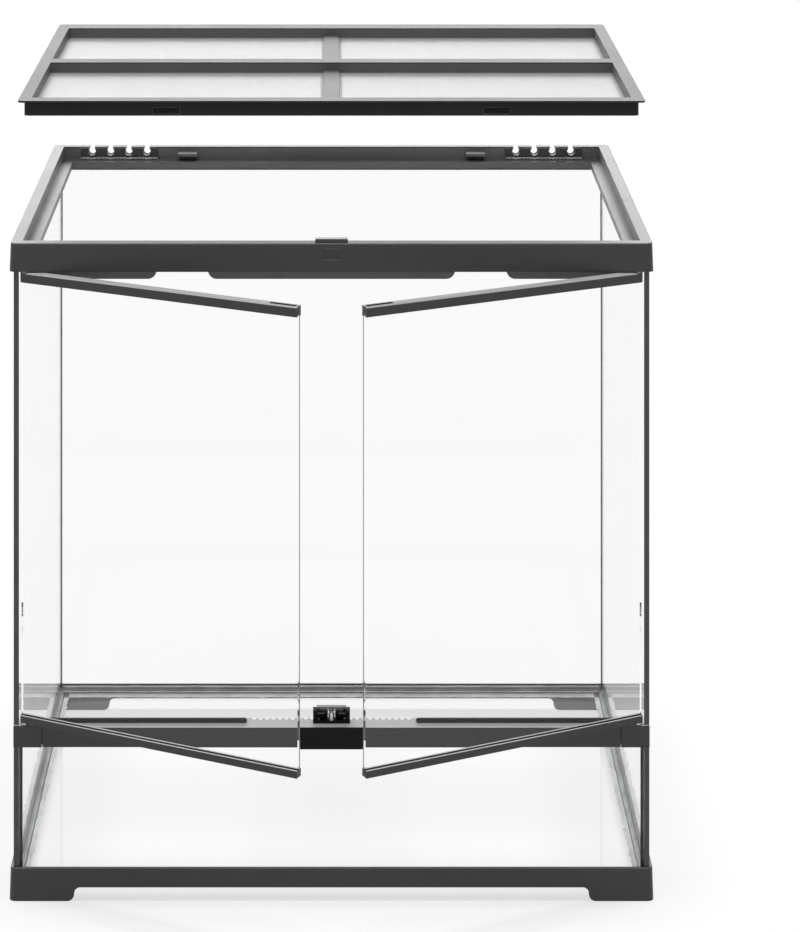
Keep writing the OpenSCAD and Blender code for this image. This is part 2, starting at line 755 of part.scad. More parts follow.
module door_top_rail() color(charcoal) hung() difference() {
  translate([0, 0, door_top]) mirror([0, 0, 1]) rail_body(top_rail_h);
  translate([0, 0, door_top]) along_x(-rail_t, door_len + 1)
    translate([-rail_t / 2, 0]) rotate(45) square(rail_bevel * sqrt(2), center = true);
  translate([door_len - 29, -2.4, door_top - 2]) cube([27, 4.8, 2 + cut]);
}

module door_glass() {
  z0 = door_z + rail_web + 0.1;
  color(glass) hung() translate([-glass_start, -door_glass_t / 2, z0])
    cube([door_len + glass_start - 0.3, door_glass_t, door_top - rail_web - 0.1 - z0]);
}

// Steel pins, each with a collar that spaces its rail from the socket
module hinge_pins() color(steel) hung() {
  translate([0, 0, door_top - rail_web + 0.1]) {
    cylinder(r = pin_r, h = rail_web - 0.1 + door_head + pin_depth);
    translate([0, 0, rail_web - 0.1]) cylinder(r = collar_r, h = door_head - collar_gap);
  }
  translate([0, 0, cap_top - pin_depth]) cylinder(r = pin_r, h = pin_depth + door_lift + rail_web - 0.1);
  translate([0, 0, cap_top + collar_gap]) cylinder(r = collar_r, h = door_lift - collar_gap);
}

module left_door_glass() door_glass();
module left_door_top_rail() door_top_rail();
module left_door_bottom_rail() door_bottom_rail();
module left_hinge_pins() hinge_pins();
module right_door_glass() mirror([1, 0, 0]) door_glass();
module right_door_top_rail() mirror([1, 0, 0]) door_top_rail();
module right_door_bottom_rail() mirror([1, 0, 0]) door_bottom_rail();
module right_hinge_pins() mirror([1, 0, 0]) hinge_pins();

// ---- Lid, drawn seated and lifted ----

module lifted() placed() translate([0, 0, lid_lift]) children();

// Runs its children once for each window: x and y say which
module window_cuts() {
  both_sides() for (y = [window_front_y, cross_y + cross_bar_w / 2]) {
    translate([window_in_x, y, mesh_z]) cube([window_w, window_d, 20]);
    translate([window_in_x + mesh_seat, y + mesh_seat, lid_bottom - cut])
      cube([window_w - 2 * mesh_seat, window_d - 2 * mesh_seat, 20]);
  }
}

module lid_frame() {
  skirt = 2.2;
  groove_h = lid_top - lid_bottom - inner_wall;
  front_groove_d = window_front_y - lid_y - 2 * skirt;
  color(charcoal) lifted() difference() {
    union() {
      block(lid_body_w, lid_back_y - lid_y, lid_y, lid_bottom, lid_top - lid_bottom, 5);
      block(lid_w, flange_d, flange_y, lid_top - flange_t, flange_t, 5);
    }
    window_cuts();
    for (y = [window_front_y, cross_y + cross_bar_w / 2])
      translate([-window_in_x - cut, y, middle_bar_top]) cube([2 * window_in_x + 2 * cut, window_d, 20]);
    translate([-window_out_x, lid_y + skirt, lid_bottom - cut]) cube([2 * window_out_x, front_groove_d, groove_h + cut]);
    translate([-window_out_x, cross_y - cross_bar_w / 2 + skirt, lid_bottom - cut])
      cube([2 * window_out_x, cross_bar_w - 2 * skirt, groove_h + cut]);
    for (s = [-1, 1]) translate([s * catch_x, 0, 0]) {
      translate([-catch_slot_w / 2, lid_y - cut, lid_bottom + 2]) cube([catch_slot_w, skirt + 2 * cut, catch_slot_h]);
      translate([-catch_slot_w / 2, lid_back_y - tab_notch_d, lid_bottom - cut])
        cube([catch_slot_w, tab_notch_d + cut, tab_z + tab_t + 1 - lid_bottom + cut]);
    }
  }
}

module mesh_panel(y) {
  edge = 0.1;
  color(steel) lifted() translate([window_in_x + edge, y + edge, mesh_z])
    cube([window_w - 2 * edge, window_d - 2 * edge, mesh_t]);
}

module mesh_front_left() mirror([1, 0, 0]) mesh_panel(window_front_y);
module mesh_front_right() mesh_panel(window_front_y);
module mesh_back_left() mirror([1, 0, 0]) mesh_panel(cross_y + cross_bar_w / 2);
module mesh_back_right() mesh_panel(cross_y + cross_bar_w / 2);

// ---- Nodes ----

base_frame();
floor_pane();
back_pane();
left_pane();
right_pane();
front_pane();
silicone_seams();
sill_rail();
left_hinge_cap();
right_hinge_cap();
centre_plate();
vent_strip();
left_seal_bar();
right_seal_bar();
lock_body();
lock_post();
lock_screws();
lock_plate();
top_frame();
lid_latch();
left_inlet_slider();
right_inlet_slider();
left_door_glass();
left_door_top_rail();
left_door_bottom_rail();
left_hinge_pins();
right_door_glass();
right_door_top_rail();
right_door_bottom_rail();
right_hinge_pins();
lid_frame();
mesh_front_left();
mesh_front_right();
mesh_back_left();
mesh_back_right();
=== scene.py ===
"""Dresses the glass terrarium: moulded frames, clear panes, silicone beads, woven mesh and a studio."""

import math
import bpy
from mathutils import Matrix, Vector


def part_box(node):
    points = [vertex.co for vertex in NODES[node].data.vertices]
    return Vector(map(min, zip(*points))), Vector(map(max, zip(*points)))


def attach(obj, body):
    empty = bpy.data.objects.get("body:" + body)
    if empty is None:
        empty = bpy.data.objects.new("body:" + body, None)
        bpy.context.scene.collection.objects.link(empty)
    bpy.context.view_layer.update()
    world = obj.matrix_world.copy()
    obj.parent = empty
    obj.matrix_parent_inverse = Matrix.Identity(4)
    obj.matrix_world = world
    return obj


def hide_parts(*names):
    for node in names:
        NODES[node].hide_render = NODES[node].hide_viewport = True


bl_info = {
    "name": "Reptile Terrarium",
    "version": (1, 0, 0),
    "blender": (4, 5, 0),
    "location": "View3D > Sidebar > Terrarium",
    "description": "Finishes a glass terrarium with hinged doors and a mesh lid, and sets up its studio",
    "category": "Object",
}

import bpy
from bpy.props import FloatProperty, FloatVectorProperty, PointerProperty
from mathutils import Matrix, Vector, noise

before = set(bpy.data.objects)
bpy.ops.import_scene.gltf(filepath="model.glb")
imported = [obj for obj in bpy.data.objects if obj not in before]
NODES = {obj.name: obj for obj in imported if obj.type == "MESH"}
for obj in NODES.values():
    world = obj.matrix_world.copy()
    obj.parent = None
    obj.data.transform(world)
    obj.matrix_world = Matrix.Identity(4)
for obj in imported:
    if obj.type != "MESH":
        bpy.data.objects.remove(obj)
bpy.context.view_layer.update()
MM = 0.001

TRIM = (
    "sill_rail", "left_hinge_cap", "right_hinge_cap", "vent_strip", "lid_latch",
    "left_inlet_slider", "right_inlet_slider", "left_door_top_rail", "left_door_bottom_rail",
    "right_door_top_rail", "right_door_bottom_rail",
)
BLACK_PARTS = ("centre_plate", "lock_body")
SEAL_BARS = ("left_seal_bar", "right_seal_bar")
STEEL_PARTS = ("lock_post", "lock_screws", "left_hinge_pins", "right_hinge_pins")
TANK_PANES = ("back_pane", "left_pane", "right_pane")
FRONT_PANES = ("front_pane", "floor_pane")
DOOR_PANES = ("left_door_glass", "right_door_glass")

# size of the finished picture in pixels
PICTURE_W = 800
PICTURE_H = 932


# ---- Settings ----


def colour(name, description, default):
    return FloatVectorProperty(
        name=name, description=description, subtype="COLOR", size=3, min=0, max=1, default=default
    )


def length(name, description, default):
    return FloatProperty(
        name=name, description=description, subtype="DISTANCE", unit="LENGTH", min=0, default=default
    )


def amount(name, description, default, top=1.0):
    return FloatProperty(name=name, description=description, min=0, max=top, default=default)


class TERRARIUM_PG_finishes(bpy.types.PropertyGroup):
    """Colours and surface values of the materials"""

    charcoal: colour("Charcoal plastic", "Colour of the moulded frames", (0.037, 0.037, 0.039))
    charcoal_roughness: amount("Charcoal roughness", "Roughness of the moulded frames", 0.42)
    # painted light: the upper faces of the sill, rails and trim are painted far paler, as if lit from
    # above
    charcoal_top_painted_light: colour(
        "Upper charcoal", "Colour of the upper faces of the sill, rails and trim", (0.42, 0.42, 0.43)
    )
    # painted light: the rim's upper faces get a paler tone, as if lit from above
    rim_top_painted_light: colour("Top of the rim", "Colour of the rim's upper faces", (0.078, 0.078, 0.08))
    # painted light: the inner walls of the rim and of the base are painted paler, standing in for the
    # light bounced inside them
    rim_inside_painted_light: colour("Inside of the rim", "Colour of the rim's inner walls", (0.18, 0.18, 0.183))
    base_inside_painted_light: colour("Inside of the base", "Colour of the base's inner walls", (0.42, 0.42, 0.424))
    lid_plastic: colour("Lid plastic", "Colour of the lid's skirt", (0.042, 0.042, 0.044))
    # painted light: the lid's upper faces get their own tone for the light from above, and its inner walls
    # a paler one for the light bounced inside
    lid_top_painted_light: colour("Top of the lid", "Colour of the lid's upper faces", (0.045, 0.045, 0.046))
    lid_inside_painted_light: colour("Inner lid", "Colour of the walls inside the lid's skirt", (0.15, 0.15, 0.152))
    # painted highlight: the lips are painted pale, standing in for light caught on the edges of the
    # openings
    lip_highlight: colour("Lips", "Colour of the lips round the latch window and catch slots", (0.13, 0.13, 0.133))
    black: colour("Black plastic", "Colour of the lock and the centre plate", (0.007, 0.007, 0.008))
    grey: colour("Grey plastic", "Colour of the lock plate", (0.26, 0.26, 0.265))
    rubber: colour("Seal rubber", "Colour of the seal bars", (0.012, 0.012, 0.013))
    steel: colour("Steel", "Colour of the pins and screws", (0.55, 0.55, 0.56))
    silicone: colour("Silicone", "Colour of the upright beads", (0.035, 0.036, 0.038))
    pale_silicone: colour("Pale silicone", "Colour of the beads round the floor", (0.34, 0.35, 0.35))
    # partly real silicone, partly painted light: this tone also covers the dark gap between the back pane
    # and the base frame
    back_silicone_and_painted_light: colour(
        "Back silicone", "Colour of the bead along the back of the floor", (0.20, 0.203, 0.203)
    )
    smear: colour("Smear", "Colour of the thin film wiped beside a bead", (0.62, 0.63, 0.63))
    tank_glass: colour("Tank glass", "Tint of the side and back panes", (0.945, 0.947, 0.947))
    front_glass: colour("Front glass", "Tint of the low front pane and the floor", (0.99, 0.992, 0.992))
    door_glass: colour("Door glass", "Tint of the doors", (0.996, 0.997, 0.997))
    glass_index: amount("Glass index", "Index of refraction of the panes", 1.18, 2)
    pane_edge: colour("Pane edges", "Colour of the ground edges of the side panes", (0.09, 0.091, 0.093))
    # painted shade: the arris's grey stands in for the darker line that a polished glass edge shows as it
    # bends the light
    arris: colour("Arris", "Colour of the polished arris along a door's free edge", (0.40, 0.42, 0.42))
    wire: colour("Wire", "Colour of the woven mesh", (0.38, 0.38, 0.385))
    wire_pitch: length("Wire pitch", "Distance between two wires of the mesh", 1.3 * MM)
    wire_width: length("Wire width", "Thickness of a wire of the mesh", 0.55 * MM)


class TERRARIUM_PG_details(bpy.types.PropertyGroup):
    """Sizes of the pieces that are made here"""

    floor_bead: length("Floor bead", "Leg of the bead round the floor", 4.6 * MM)
    front_bead: length("Front bead", "Leg of the upright beads behind the low front pane", 3.0 * MM)
    back_bead: length("Back bead", "Leg of the upright beads at the back", 1.3 * MM)
    bead_wave: length("Bead wave", "How far a hand-run bead varies", 0.5 * MM)
    bead_step: length("Bead step", "Distance between two sections of a bead or a film", 4 * MM)
    smear_width: length("Smear width", "Width of the film wiped along the sides of the floor", 6.0 * MM)
    smear_wave: length("Smear wave", "How far the film's edge varies", 1.6 * MM)
    smear_film: length("Smear film", "Thickness of the wiped film", 0.05 * MM)
    edge_film: length("Edge film", "Thickness of the finish on a pane's ground edge", 0.15 * MM)
    # width of the painted grey line along a door's free edge
    arris: length("Arris", "Width of the polished arris along a door's free edge", 0.9 * MM)
    lip_width: length("Lip width", "Width of the slim lips round the openings", 0.6 * MM)
    lip_rise: length("Lip rise", "How far the slim lips stand proud", 0.12 * MM)


class TERRARIUM_PG_studio(bpy.types.PropertyGroup):
    """Camera and lights"""

    distance: length("Camera distance", "Distance of the camera from the front of the frames", 2.832)
    height: length("Camera height", "Height of the camera above the floor", 1.292)
    focal_px: FloatProperty(
        name="Focal length", description="Focal length in picture pixels", default=2994.6, min=100
    )
    middle_x: FloatProperty(
        name="Middle", description="Picture column of the terrarium's middle", default=331.5
    )
    horizon_y: FloatProperty(name="Horizon", description="Picture row of the horizon", default=-465.0)
    world_light: amount("World light", "Strength of the surrounding light", 0.18, 4)
    top_light: amount("Top light", "Strength of the soft light overhead", 1.25, 20)
    front_light: amount("Front light", "Power of the soft lamp above the front, in watts", 34.0, 2000)
    sheen_light: amount("Sheen light", "Power of the wide lamp behind, in watts", 125.0, 2000)
    floor_lift: amount("Floor lift", "How much the floor is lifted towards white for the camera", 0.635)


# ---- Node helpers ----


VALUE = "NodeSocketFloat"
VECTOR = "NodeSocketVector"


def link(tree, source, target):
    tree.links.new(source, target)


def feed(tree, value, target):
    """Links a socket to the target, or writes a plain number on it"""
    if isinstance(value, bpy.types.NodeSocket):
        link(tree, value, target)
    else:
        target.default_value = value


def node(tree, kind, **values):
    """A node with its input values by name, such as To_Min for the input To Min"""
    made = tree.nodes.new(kind)
    for key, value in values.items():
        made.inputs[key.replace("_", " ")].default_value = value
    return made


def math_node(tree, operation, a, b=None, clamp=False):
    made = tree.nodes.new("ShaderNodeMath")
    made.operation = operation
    made.use_clamp = clamp
    feed(tree, a, made.inputs[0])
    if b is not None:
        feed(tree, b, made.inputs[1])
    return made.outputs[0]


def own_place(tree):
    """Where a point lies, in its piece's own coordinates"""
    return tree.nodes.new("ShaderNodeTexCoord").outputs["Object"]


def split_axes(tree, vector):
    made = tree.nodes.new("ShaderNodeSeparateXYZ")
    link(tree, vector, made.inputs[0])
    return made.outputs


def soft_noise(tree, scale, detail):
    """Noise over the piece; the scale is a number or a socket"""
    made = node(tree, "ShaderNodeTexNoise", Detail=detail)
    link(tree, own_place(tree), made.inputs["Vector"])
    feed(tree, scale, made.inputs["Scale"])
    return made.outputs["Fac"]


def remapped(tree, value, **limits):
    """The value carried from one range to another"""
    made = node(tree, "ShaderNodeMapRange", **limits)
    link(tree, value, made.inputs["Value"])
    return made.outputs[0]


def mixed_shaders(tree, factor, first, second):
    made = tree.nodes.new("ShaderNodeMixShader")
    for socket, source in zip(made.inputs, (factor, first, second)):
        link(tree, source, socket)
    return made.outputs[0]


def new_group(name, inputs, outputs):
    """A shader node group with float inputs (name: default) and outputs (name: socket type)"""
    tree = bpy.data.node_groups.new(name, "ShaderNodeTree")
    for label, default in inputs.items():
        socket = tree.interface.new_socket(name=label, in_out="INPUT", socket_type=VALUE)
        socket.default_value = default
    for label, kind in outputs.items():
        tree.interface.new_socket(name=label, in_out="OUTPUT", socket_type=kind)
    return tree, tree.nodes.new("NodeGroupInput").outputs, tree.nodes.new("NodeGroupOutput").inputs


def mould_grain_group(name):
    """Fine spark-eroded grain, slow flow marks and a rounded edge of moulded plastic"""
    tree, given, out = new_group(
        name,
        {"Grain": 2600.0, "Edge": 0.6 * MM, "Flow": 9.0},
        {"Normal": VECTOR, "Height": VALUE, "Shade": VALUE, "Edge Mask": VALUE},
    )
    paling = 3.0  # how quickly the mask grows as an edge turns away from its flat face
    edge = tree.nodes.new("ShaderNodeBevel")
    edge.samples = 4
    link(tree, given["Edge"], edge.inputs["Radius"])
    flat = tree.nodes.new("ShaderNodeNewGeometry")
    turn = tree.nodes.new("ShaderNodeVectorMath")
    turn.operation = "DOT_PRODUCT"
    link(tree, edge.outputs["Normal"], turn.inputs[0])
    link(tree, flat.outputs["Normal"], turn.inputs[1])
    turned = math_node(tree, "SUBTRACT", 1.0, turn.outputs["Value"])
    link(tree, math_node(tree, "MULTIPLY", turned, paling, clamp=True), out["Edge Mask"])
    link(tree, edge.outputs["Normal"], out["Normal"])
    link(tree, soft_noise(tree, scale=given["Grain"], detail=2.0), out["Height"])
    link(tree, soft_noise(tree, scale=given["Flow"], detail=3.0), out["Shade"])
    return tree


def inside_group(name):
    """A mask of the faces that lie inside an upright box, such as the inner walls of a ring"""
    tree, given, out = new_group(
        name, {"Half Width": 0.3, "Front": -0.2, "Back": 0.2, "Top": 0.6}, {"Mask": VALUE}
    )
    place = split_axes(tree, own_place(tree))
    aside = math_node(tree, "ABSOLUTE", place["X"])
    mask = math_node(tree, "LESS_THAN", aside, given["Half Width"])
    for operation, axis, limit in (("GREATER_THAN", "Y", "Front"), ("LESS_THAN", "Y", "Back"),
                                   ("LESS_THAN", "Z", "Top")):
        within = math_node(tree, operation, place[axis], given[limit])
        mask = math_node(tree, "MULTIPLY", mask, within)
    link(tree, mask, out["Mask"])
    return tree


def upper_group(name):
    """A mask of the faces that look up"""
    tree, _, out = new_group(name, {}, {"Mask": VALUE})
    least_rise = 0.6  # upright part of the normal from which a face counts as an upper one
    normal = split_axes(tree, tree.nodes.new("ShaderNodeNewGeometry").outputs["Normal"])
    link(tree, math_node(tree, "GREATER_THAN", normal["Z"], least_rise), out["Mask"])
    return tree


def weave_group(name):
    """Square woven wire cloth: a mask of the wires and their height"""
    tree, given, out = new_group(
        name, {"Pitch": 1.3 * MM, "Width": 0.55 * MM}, {"Wire": VALUE, "Height": VALUE}
    )
    lift = 1.5  # keeps the low turns of a wire above the gaps
    place = split_axes(tree, own_place(tree))
    half_pitch = math_node(tree, "DIVIDE", given["Pitch"], 2.0)
    half_width = math_node(tree, "DIVIDE", given["Width"], 2.0)
    masks, heights = [], []
    for across, along in (("X", "Y"), ("Y", "X")):
        aside = math_node(tree, "PINGPONG", place[across], half_pitch)
        masks.append(math_node(tree, "LESS_THAN", aside, half_width))
        phase = math_node(tree, "DIVIDE", place[along], given["Pitch"])
        turn = math_node(tree, "SINE", math_node(tree, "MULTIPLY", phase, math.pi))
        heights.append(math_node(tree, "MULTIPLY", masks[-1], math_node(tree, "ADD", turn, lift)))
    link(tree, math_node(tree, "MAXIMUM", *masks), out["Wire"])
    link(tree, math_node(tree, "MAXIMUM", *heights), out["Height"])
    return tree


GROUP_BUILDERS = {
    "Mould Grain": mould_grain_group,
    "Inside Walls": inside_group,
    "Upper Faces": upper_group,
    "Woven Wire": weave_group,
}


def place_group(tree, name, **values):
    """A node group in a material, built when it is first needed; gives the group's outputs"""
    made = tree.nodes.new("ShaderNodeGroup")
    made.node_tree = bpy.data.node_groups.get(name) or GROUP_BUILDERS[name](name)
    for key, value in values.items():
        made.inputs[key].default_value = value
    return made.outputs


# ---- Materials ----


def blank_material(name):
    made = bpy.data.materials.new(name)
    made.use_nodes = True
    tree = made.node_tree
    tree.nodes.clear()
    out = tree.nodes.new("ShaderNodeOutputMaterial")
    shader = tree.nodes.new("ShaderNodeBsdfPrincipled")
    link(tree, shader.outputs[0], out.inputs["Surface"])
    return made, tree, shader, out


def scaled(shade, factor):
    return tuple(min(1.0, channel * factor) for channel in shade)


def mottled(tree, factor, shade, darker, paler, start=0.3, end=0.7):
    """The shade, darker where the factor is below start and paler where it is above end"""
    made = tree.nodes.new("ShaderNodeValToRGB")
    for stop, place, strength in zip(made.color_ramp.elements, (start, end), (darker, paler)):
        stop.position = place
        stop.color = (*scaled(shade, strength), 1)
    link(tree, factor, made.inputs["Fac"])
    return made.outputs["Color"]


def choose_tone(tree, mask, tone, other):
    """The tone outside the mask and the other colour inside it"""
    made = tree.nodes.new("ShaderNodeMix")
    made.data_type = "RGBA"
    link(tree, mask, made.inputs["Factor"])
    link(tree, tone, made.inputs["A"])
    made.inputs["B"].default_value = (*other, 1)
    return made.outputs["Result"]


def add_relief(tree, shader, height, strength, depth, under=None):
    """Raises the surface by the height, over another normal where one is given"""
    relief = node(tree, "ShaderNodeBump", Strength=strength, Distance=depth)
    link(tree, height, relief.inputs["Height"])
    if under is not None:
        link(tree, under, relief.inputs["Normal"])
    link(tree, relief.outputs[0], shader.inputs["Normal"])


def upper_tint(shade):
    """A tint of the faces that look up; a paler tint there is painted light from above"""
    return "Upper Faces", {}, shade


def inner_painted_light(shade, low, high):
    """A tint of the faces inside an upright box, given by its corners; it paints those inner walls paler,
    as painted light for the light bounced inside
    """
    return "Inside Walls", {"Half Width": high.x, "Front": low.y, "Back": high.y, "Top": high.z}, shade


def plastic(name, shade, roughness, grain=2600.0, edge_wear_and_highlight=1.5, gloss=0.5, tints=()):
    """Moulded plastic: grain, slow tone variation and a rounded edge painted paler, partly as wear and
    partly as a painted highlight

    A tint is a mask group, the group's values and a colour. A later tint covers an earlier one."""
    made, tree, shader, _ = blank_material(name)
    shader.inputs["Specular IOR Level"].default_value = gloss
    mould = place_group(tree, "Mould Grain", Grain=grain)
    tone = mottled(tree, mould["Shade"], shade, darker=0.9, paler=1.12)
    for group, values, tint in tints:
        tone = choose_tone(tree, place_group(tree, group, **values)["Mask"], tone, tint)
    # the rounded edge is painted paler: partly wear, partly a painted highlight
    tone = choose_tone(tree, mould["Edge Mask"], tone, scaled(shade, edge_wear_and_highlight))
    link(tree, tone, shader.inputs["Base Color"])
    spread = remapped(tree, mould["Shade"], To_Min=roughness - 0.04, To_Max=roughness + 0.06)
    link(tree, spread, shader.inputs["Roughness"])
    add_relief(tree, shader, mould["Height"], strength=0.35, depth=0.012 * MM, under=mould["Normal"])
    return made


def clear_glass(name, shade, index):
    """Float glass with a faint haze, which lets lamp light pass straight through"""
    made, tree, shader, out = blank_material(name)
    shader.inputs["Base Color"].default_value = (*shade, 1)
    shader.inputs["Transmission Weight"].default_value = 1.0
    shader.inputs["IOR"].default_value = index
    wiped = soft_noise(tree, scale=14.0, detail=4.0)
    haze = remapped(tree, wiped, From_Min=0.55, From_Max=0.85, To_Min=0.0, To_Max=0.03)
    link(tree, haze, shader.inputs["Roughness"])
    path = tree.nodes.new("ShaderNodeLightPath").outputs
    straight = math_node(tree, "MAXIMUM", path["Is Shadow Ray"], path["Is Diffuse Ray"])
    through = node(tree, "ShaderNodeBsdfTransparent", Color=(*shade, 1))
    surface = mixed_shaders(tree, straight, shader.outputs[0], through.outputs[0])
    link(tree, surface, out.inputs["Surface"])
    return made


def woven_wire(name, shade, pitch, width):
    """Fine wire cloth on a thin sheet"""
    made, tree, shader, _ = blank_material(name)
    shader.inputs["Metallic"].default_value = 0.15
    shader.inputs["Roughness"].default_value = 0.5
    weave = place_group(tree, "Woven Wire", Pitch=pitch, Width=width)
    # painted shade: the low turns of each wire, where it dips under the crossing wire, are painted darker
    tone = mottled(tree, weave["Height"], shade, darker=0.8, paler=1.0, start=0.0, end=1.0)
    link(tree, tone, shader.inputs["Base Color"])
    add_relief(tree, shader, weave["Height"], strength=0.3, depth=0.2 * MM)
    # such fine wire blurs to the eye, so its gaps hold a part of its tone
    gap_cover, wire_cover = 0.42, 0.8
    cover = math_node(tree, "MULTIPLY", weave["Wire"], wire_cover - gap_cover)
    link(tree, math_node(tree, "ADD", cover, gap_cover), shader.inputs["Alpha"])
    return made


def turned_steel(name, shade):
    """Bright steel with broken edges"""
    made, tree, shader, _ = blank_material(name)
    shader.inputs["Metallic"].default_value = 1.0
    shader.inputs["Roughness"].default_value = 0.28
    mould = place_group(tree, "Mould Grain", Grain=900.0, Edge=0.2 * MM)
    tone = mottled(tree, mould["Shade"], shade, darker=0.85, paler=1.0)
    link(tree, tone, shader.inputs["Base Color"])
    link(tree, mould["Normal"], shader.inputs["Normal"])
    return made


def silicone(name, shade):
    """Glossy cured silicone with a slightly lumpy skin"""
    made, tree, shader, _ = blank_material(name)
    shader.inputs["Roughness"].default_value = 0.3
    mould = place_group(tree, "Mould Grain", Grain=160.0, Edge=0.2 * MM, Flow=40.0)
    tone = mottled(tree, mould["Shade"], shade, darker=0.7, paler=1.3)
    link(tree, tone, shader.inputs["Base Color"])
    add_relief(tree, shader, mould["Height"], strength=0.4, depth=0.3 * MM)
    return made


def thin_film(name, shade, cover):
    """A streaky film; a cover below 1 lets some of the pane show"""
    made, tree, shader, _ = blank_material(name)
    shader.inputs["Roughness"].default_value = 0.5
    shader.inputs["Alpha"].default_value = cover
    streaks = soft_noise(tree, scale=60.0, detail=4.0)
    tone = mottled(tree, streaks, shade, darker=0.85, paler=1.1, start=0.35, end=0.65)
    link(tree, tone, shader.inputs["Base Color"])
    return made


def finish_nodes(names, material):
    """Gives pieces of the frame one finish"""
    for name in names:
        slots = NODES[name].data.materials
        slots.clear()
        slots.append(material)


# ---- Mesh helpers ----


def new_piece(name, verts, faces, material, body, slot, smooth=True):
    """A piece of the terrarium that rides on a body; the slot argument is not used"""
    mesh = bpy.data.meshes.new(name)
    mesh.from_pydata(verts, [], faces)
    mesh.update()
    mesh.materials.append(material)
    if smooth:
        mesh.polygons.foreach_set("use_smooth", [True] * len(mesh.polygons))
    made = bpy.data.objects.new(name, mesh)
    bpy.context.scene.collection.objects.link(made)
    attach(made, body)
    return made


def bead_mesh(start, end, side_a, side_b, leg, wave, step, seed):
    """Vertices and faces of a hollow-faced bead from start to end in the corner of two walls"""
    arc = 5  # points across the bead's face
    hollow = 0.92  # how deep the face is drawn in; 1 draws a full quarter circle
    along, apart = 0.35, 7.3  # steps through the noise from section to section and from leg to leg
    run = end - start
    count = max(2, int(run.length / step))
    verts, faces = [], []
    for i in range(count + 1):
        place = start + run * (i / count)
        sway = [noise.noise(Vector((i * along, seed, k * apart))) for k in (0, 1)]
        a = side_a * (leg + wave * sway[0])
        b = side_b * (leg + wave * sway[1])
        verts.append(place)
        for k in range(arc):
            turn = k / (arc - 1) * math.pi / 2
            verts.append(place + a * (1 - math.sin(turn) * hollow) + b * (1 - math.cos(turn) * hollow))
    ring = arc + 1
    for i in range(count):
        low, nxt = i * ring, (i + 1) * ring
        for k in range(ring):
            faces.append((low + k, low + (k + 1) % ring, nxt + (k + 1) % ring, nxt + k))
    faces.append(tuple(range(ring - 1, -1, -1)))
    faces.append(tuple(count * ring + k for k in range(ring)))
    return verts, faces


def smear_strip(start, end, side, width, wave, film, step, seed):
    """A flat film from start to end whose outer edge wanders in long and short waves"""
    # strength, step from section to section and layer of the noise, for the long and the short waves
    waves = ((1.0, 0.5, 3.1), (0.5, 1.7, 8.2))
    run = end - start
    count = max(2, int(run.length / step))
    rise = Vector((0, 0, film))
    verts, faces = [], []
    for i in range(count + 1):
        place = start + run * (i / count)
        wander = sum(strength * noise.noise(Vector((i * pace, seed, layer)))
                     for strength, pace, layer in waves)
        for corner in (place, place + side * (width + wave * wander)):
            verts.extend((corner, corner + rise))
    for i in range(count):
        a, b = i * 4, i * 4 + 4
        faces.extend((
            (a, a + 2, b + 2, b),
            (a + 1, b + 1, b + 3, a + 3),
            (a + 2, a + 3, b + 3, b + 2),
            (a, b, b + 1, a + 1),
        ))
    last = 4 * count
    faces.extend(((0, 1, 3, 2), (last, last + 2, last + 3, last + 1)))
    return verts, faces


def free_corners(mesh, side):
    """The lowest and highest vertex of a door's free edge, at the back of the glass

    The side is 1 for a door whose free edge lies to the right of its hinges and -1 for the other."""
    pane = 6 * MM  # more than the pane's thickness
    margin = 0.1 * MM
    points = [vertex.co for vertex in mesh.vertices]
    tip = min(points, key=lambda p: p.y)
    edge = [p for p in points if side * p.x > side * tip.x + margin and p.y < tip.y + pane]
    return min(edge, key=lambda p: p.z).copy(), max(edge, key=lambda p: p.z).copy()


PRISM_SIDES = [(0, 1, 5, 4), (1, 2, 6, 5), (2, 3, 7, 6), (3, 0, 4, 7)]


def corner_line(ends, size):
    """A slim upright prism centred on the line between two points"""
    verts = [end + Vector((dx * size / 2, dy * size / 2, 0)) for end in ends
             for dx, dy in ((-1, 0), (0, -1), (1, 0), (0, 1))]
    return verts, PRISM_SIDES + [(3, 2, 1, 0), (4, 5, 6, 7)]


def arrised_strip(left, right, out, height):
    """An upright strip over a ground edge, with a small chamfer along each side"""
    chamfer_share = 0.08
    inset = (right - left) * chamfer_share
    section = (left, left + inset + out, right - inset + out, right)
    verts = [corner + Vector((0, 0, z)) for z in (0, height) for corner in section]
    return verts, PRISM_SIDES + [(0, 3, 2, 1), (4, 5, 6, 7)]


def lip_ring(low, high, width, rise):
    """A slim raised lip round an upright opening; low and high are the opening's corners on the face"""
    verts = []
    for grow, out in ((0, 0), (width / 2, rise), (width, 0)):
        for x, z in ((0, 0), (1, 0), (1, 1), (0, 1)):
            verts.append(Vector((
                high.x + grow if x else low.x - grow,
                (high.y if z else low.y) - out,
                high.z + grow if z else low.z - grow,
            )))
    faces = []
    for a in range(3):
        b = (a + 1) % 3
        faces.extend((b * 4 + k, b * 4 + (k + 1) % 4, a * 4 + (k + 1) % 4, a * 4 + k) for k in range(4))
    return verts, faces


def mouth_corners(mesh, low, high):
    """Corners of the opening whose vertices on the front face lie strictly inside the given box"""
    points = [v.co for v in mesh.vertices if all(low[i] < v.co[i] < high[i] for i in range(3))]
    if not points:
        raise RuntimeError("no opening was found in the given box")
    left, right = min(p.x for p in points), max(p.x for p in points)
    bottom, top = min(p.z for p in points), max(p.z for p in points)
    level = 0.05 * MM

    def corner(x, z):
        return Vector((x, min(p.y for p in points if abs(p.z - z) < level), z))

    return corner(left, bottom), corner(right, top)


def joined(parts):
    """The vertices and faces of several parts as one"""
    verts, faces = [], []
    for part_verts, part_faces in parts:
        base = len(verts)
        verts.extend(part_verts)
        faces.extend(tuple(base + i for i in face) for face in part_faces)
    return verts, faces


# ---- Operators ----


